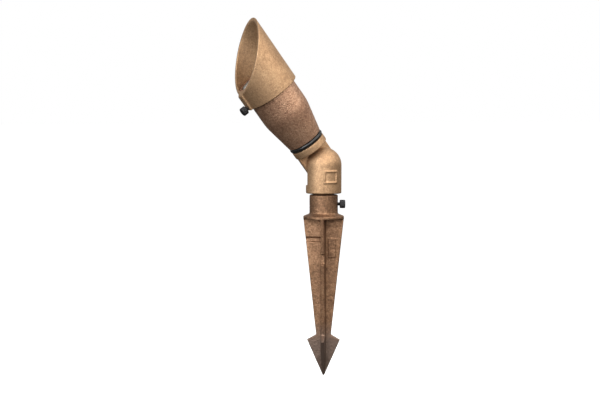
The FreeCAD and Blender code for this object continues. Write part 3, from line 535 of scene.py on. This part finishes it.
def plain(name, shade, roughness, metallic=0.0, spot=1.5, vary=0.06, bump=0.02, **sockets):
    """A finish with a faint drift of gloss over spots of the given size in mm, and of shade by vary.  With
    vary 0 the colour stands on the shader's own socket, and with bump 0, in mm, the face is smooth."""
    made = new_material(name)
    where = add(made, "ShaderNodeTexCoord").outputs["Object"]
    spots = add(made, "ShaderNodeTexNoise", {"Vector": where, "Scale": 1000 / spot, "Detail": 3.0})
    noise = spots.outputs["Fac"]
    gloss = add(made, "ShaderNodeMapRange", {"Value": noise, "To Min": roughness * GLOSS_LEAST,
                                             "To Max": roughness * GLOSS_MOST})
    base = linear(shade)
    inputs = {"Base Color": base, "Metallic": metallic, "Roughness": gloss.outputs["Result"], **sockets}
    if vary:
        low = [c * (1 - vary * 2) for c in base[:3]] + [1.0]
        mixed = add(made, "ShaderNodeMix", {MIX_FACTOR: noise, MIX_FROM: low, MIX_TO: base}, data_type="RGBA")
        inputs["Base Color"] = mixed.outputs[MIX_RESULT]
    if bump:
        skin = add(made, "ShaderNodeBump", {"Height": noise, "Distance": bump / 1000, "Strength": 1.0})
        inputs["Normal"] = skin.outputs["Normal"]
    finish_material(made, inputs)
    return made


# Bronze of the body, left as the sand gave it: brown with coarse grain.
bronze_body = cast_bronze("sand_cast_bronze", "795947", "AC876E", "D3AD90",
                          roughness=0.48, grit=1.5, bump=0.45)
# Tumbled bronze of the cowl and the knuckle: yellower than the body's, and rubbed smoother.
bronze_smooth = cast_bronze("tumbled_bronze", "92755A", "B69472", "CEAD88",
                            roughness=0.52, grit=1.3, bump=0.22)
# Bronze of the spike: coarser, and painted darker than the body's as painted shade, darkest at the point.
shaded_spike_bronze = cast_bronze("shaded_cast_bronze", "5C4536", "88684F", "B08A6C",
                           roughness=0.50, grit=1.6, bump=0.45, shade_below=-118)
# Brass blackened and oiled: near black, with a soft sheen on the knurl's points.
black_brass = plain("blackened_brass", "1B1C1F", 0.34, metallic=0.3, spot=0.8)
# Nitrile rubber, moulded and greased: black with sharp highlights.
rubber = plain("nitrile_rubber", "111112", 0.24, spot=3.0)
# Stainless steel, turned: grey, with a fine unevenness in its shine.
steel = plain("turned_stainless", "A9A8A4", 0.3, metallic=1.0, spot=0.6)
# Nylon, moulded in its natural colour: milky and half matt.
nylon = plain("natural_nylon", "E2DFD2", 0.45, spot=2.0)
# Steatite ceramic, fired and unglazed: off-white, matt, a little rough.
steatite = plain("steatite_ceramic", "E6E1D5", 0.7, spot=1.0, bump=0.04)
# Nickel plate on the lamp's pins: warm grey and bright.
nickel = plain("nickel_plate", "B9B4A9", 0.18, metallic=1.0, spot=2.0)
# Woven glass sleeve on the leads: cream and matt, with a rough face.
sleeve = plain("woven_glass_sleeve", "D9D5C9", 0.8, spot=0.5, vary=0.15, bump=0.12)
# Glass coated with aluminium, inside the bowl: bright and very smooth.
mirror = plain("aluminised_glass", "D9DDE2", 0.07, metallic=1.0, spot=6.0, vary=0.02, bump=0.0)
# Tempered soda glass: clear, with its usual index of 1.52.
glass = plain("tempered_glass", "F4F8F6", 0.03, spot=8.0, vary=0.0, bump=0.0,
              **{"Transmission Weight": 1.0, "IOR": 1.52})
# Lens glass with a fine etched face that spreads the beam: pale, and satin where it is seen at a slant.
lens_glass = plain("etched_lens_glass", "F6F7F4", 0.30, spot=1.0, vary=0.0, bump=0.01,
                   **{"Transmission Weight": 0.45, "IOR": 1.52})


# ---- pieces ---------------------------------------------------------------------------------------------
def dress(shape, body, slot, finish, *nodes):
    """Puts the finish on a new piece, and says what it rides on and what it stands for.  The slot is not
    used.
    """
    shape.data.materials.clear()
    shape.data.materials.append(finish)
    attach(shape, body)
    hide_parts(*nodes)


cowl = surface("glare_cowl_casting", cowl_points(), True)
sand_skin(cowl, depth=0.05, size=2.0, seed=11)
dress(cowl, "cowl", "turned_bronze", bronze_smooth, "glare_cowl")

bullet = surface("bullet_casting", bullet_points(), True)
sand_skin(bullet, depth=0.11, size=1.9, seed=21)
dress(bullet, "head", "bronze", bronze_body, "body_shell")

seal = surface("body_seal_ring", on_head(ring_points(RING_MEAN_R, RING_SECTION, RING_Z)), True)
dress(seal, "head", "black_rubber", rubber, "body_oring")

bowl = surface("faceted_reflector", reflector_points(), True)
dress(bowl, "head", "mirror_glass", mirror, "lamp_reflector")

# The cowl's screw points along -X, so the screw along +X is turned half round about Z.
cowl_screw_shape = screw_points(BARREL_R + SCREW_IN, BOSS_REACH + KNOB_STAND) * (-1, -1, 1)
cowl_screw_shape = cowl_screw_shape + (0, 0, COWL_SCREW_Z)
cowl_screw = surface("cowl_screw_knurled", on_head(cowl_screw_shape), False)
dress(cowl_screw, "cowl_screw", "black_brass", black_brass, "cowl_thumb_screw")

spike_screw_shape = screw_points(STEM_R + SCREW_IN, COLLAR_R + KNOB_STAND) + (0, 0, SPIKE_SCREW_Z)
spike_screw = surface("spike_screw_knurled", on_spike(spike_screw_shape), False)
dress(spike_screw, "spike_screw", "black_brass", black_brass, "spike_thumb_screw")

spike = soft_casting("ground_spike", "spike_casting", cell=0.64, rounds=3)
sand_skin(spike, depth=0.10, size=2.2, seed=31)
dress(spike, "spike", "bronze", shaded_spike_bronze, "ground_spike")

lower = soft_casting("knuckle_lower_half", "knuckle_front_casting", cell=0.46, rounds=3)
sand_skin(lower, depth=0.05, size=2.0, seed=41)
dress(lower, "stem_and_knuckle_foot", "turned_bronze", bronze_smooth, "knuckle_lower_half")

upper = soft_casting("knuckle_upper_half", "knuckle_rear_casting", cell=0.5, rounds=4)
sand_skin(upper, depth=0.05, size=2.0, seed=51)
dress(upper, "head", "turned_bronze", bronze_smooth, "knuckle_upper_half")

# The other nodes keep the CAD's own mesh.
finishes = {
    "threaded_stem": bronze_smooth, "knuckle_seal": rubber, "knuckle_bolt": steel, "knuckle_washer": steel,
    "lens_gasket": rubber, "lens": lens_glass, "lens_retainer": steel, "lamp_cover_glass": glass,
    "lamp_base": steatite, "lamp_pins": nickel, "lamp_capsule": glass, "lamp_clip": steel,
    "lamp_holder": steatite, "leads": sleeve, "wire_seal": rubber, "cowl_slip_ring": nylon,
    "spike_screw_pad": nylon, "cowl_screw_pad": nylon,
}
for node, finish in finishes.items():
    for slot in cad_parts[node].material_slots:
        slot.material = finish


# ---- stage, in metres -------------------------------------------------------------------------------------
FLOOR_Z = -0.1835                              # half a millimetre under the spike's point
FLOOR_WIDTH = 60
FLOOR_SEEN = "C8C8C8"                          # the floor's colour to the camera
FLOOR_LIT = "3A3733"                           # and to the light it throws back
OBJECT_MIDDLE = (0, 0, 0.02)                   # lamps and the card face this point
CAMERA_TURN = math.radians(-90 - 23.14)        # where the camera stands, round Z
towards = np.array([math.cos(CAMERA_TURN), math.sin(CAMERA_TURN), 0])
rightwards = np.array([-math.sin(CAMERA_TURN), math.cos(CAMERA_TURN), 0])


def stand(towards_m, right_m, up_m):
    """A place given by how far it is towards the camera, to its right, and up, in metres."""
    return towards * towards_m + rightwards * right_m + np.array([0, 0, up_m])


def look(thing, place, target):
    """Puts a lamp, a card or a camera at a place, turned to face the target."""
    thing.location = Vector(place)
    thing.rotation_euler = Vector(np.array(target) - np.array(place)).to_track_quat("-Z", "Y").to_euler()


def soft_lamp(name, place, width, watts, shade):
    """A square lamp, width metres wide, that faces the object."""
    data = bpy.data.lights.new(name, "AREA")
    data.size = width
    data.energy = watts
    data.color = linear(shade)[:3]
    lamp = bpy.data.objects.new(name, data)
    bpy.context.collection.objects.link(lamp)
    look(lamp, place, OBJECT_MIDDLE)


def flat_sheet(name, wide, high, z=0.0):
    """A flat rectangle round the Z axis at height z, wide along X and high along Y."""
    x, y = wide / 2, high / 2
    mesh = bpy.data.meshes.new(name)
    mesh.from_pydata([(-x, -y, z), (x, -y, z), (x, y, z), (-x, y, z)], [], [(0, 1, 2, 3)])
    return piece(name, mesh)


def strength(made, lit, seen, gloss):
    """Strength of a glow: lit for the light it gives, seen where the camera or clear glass meets it, gloss
    where a shiny surface does."""
    path = add(made, "ShaderNodeLightPath").outputs
    straight = add(made, "ShaderNodeMath", {0: path["Is Camera Ray"], 1: path["Is Transmission Ray"]},
                   operation="MAXIMUM")
    shiny = add(made, "ShaderNodeMapRange", {"Value": path["Is Glossy Ray"], "To Min": lit, "To Max": gloss})
    both = add(made, "ShaderNodeMapRange", {"Value": straight.outputs[0], "To Min": shiny.outputs["Result"],
                                            "To Max": seen})
    return both.outputs["Result"]


def dark_flag(name, place, wide, high):
    """A black card beside the object, as a photographer stands one to darken one side of shiny metal: only
    mirrored in it, never seen, and it shades nothing."""
    card = flat_sheet(name, wide, high)
    paint = new_material(name + "_card")
    finish_material(paint, {"Base Color": linear("1A1816"), "Roughness": 1.0, "Specular IOR Level": 0.0})
    card.data.materials.append(paint)
    look(card, place, OBJECT_MIDDLE)
    card.visible_camera = False
    card.visible_diffuse = False
    card.visible_transmission = False
    card.visible_shadow = False


world = bpy.data.worlds.new("pale_room")
bpy.context.scene.world = world
world.use_nodes = True
world.node_tree.nodes.clear()
glow = add(world, "ShaderNodeBackground", {"Color": linear("FFFFFF"),
                                           "Strength": strength(world, lit=0.38, seen=1.0, gloss=0.55)})
add(world, "ShaderNodeOutputWorld", {"Surface": glow.outputs["Background"]})

floor = flat_sheet("pale_floor", FLOOR_WIDTH, FLOOR_WIDTH, FLOOR_Z)
floor_paint = new_material("pale_paper")
seen_by = add(floor_paint, "ShaderNodeLightPath")
paper = add(floor_paint, "ShaderNodeMix", {MIX_FACTOR: seen_by.outputs["Is Camera Ray"],
                                           MIX_FROM: linear(FLOOR_LIT), MIX_TO: linear(FLOOR_SEEN)},
            data_type="RGBA")
finish_material(floor_paint, {
    "Base Color": paper.outputs[MIX_RESULT], "Roughness": 1.0, "Specular IOR Level": 0.0,
    "Emission Color": linear("FFFFFF"),
    "Emission Strength": strength(floor_paint, lit=0.0, seen=0.82, gloss=0.04)})
floor.data.materials.append(floor_paint)

dark_flag("flag_right", stand(0.25, 0.75, -0.05), wide=1.4, high=0.7)

soft_lamp("top_right", stand(0.55, 0.60, 0.85), width=1.8, watts=22, shade="FFF8F0")
soft_lamp("front_left", stand(1.00, -0.78, 0.38), width=0.9, watts=12, shade="FFFFFF")
soft_lamp("front", stand(1.50, 0.05, 0.50), width=1.0, watts=9, shade="FFFFFF")

# ---- camera ---------------------------------------------------------------------------------------------
CAMERA_FAR = 1.5419         # metres from the spike's axis, level
CAMERA_UP = 0.123
AIM_UP = 0.02153
AIM_SIDE = -0.02732         # camera and aim stand this far right of the spike's axis; below zero is left
MM_PER_PIXEL = 1.155        # of the photograph, at the aim
PHOTO_WIDTH = 600           # in pixels
SENSOR = 36                 # in millimetres
aim = stand(0, AIM_SIDE, AIM_UP)
eye = stand(CAMERA_FAR, AIM_SIDE, CAMERA_UP)
camera_data = bpy.data.cameras.new("camera")
camera_data.sensor_width = SENSOR
camera_data.lens = SENSOR * float(np.linalg.norm(eye - aim)) / (PHOTO_WIDTH * MM_PER_PIXEL / 1000)
camera = bpy.data.objects.new("camera", camera_data)
bpy.context.collection.objects.link(camera)
look(camera, eye, aim)
bpy.context.scene.camera = camera
bpy.context.scene.view_settings.view_transform = "Standard"
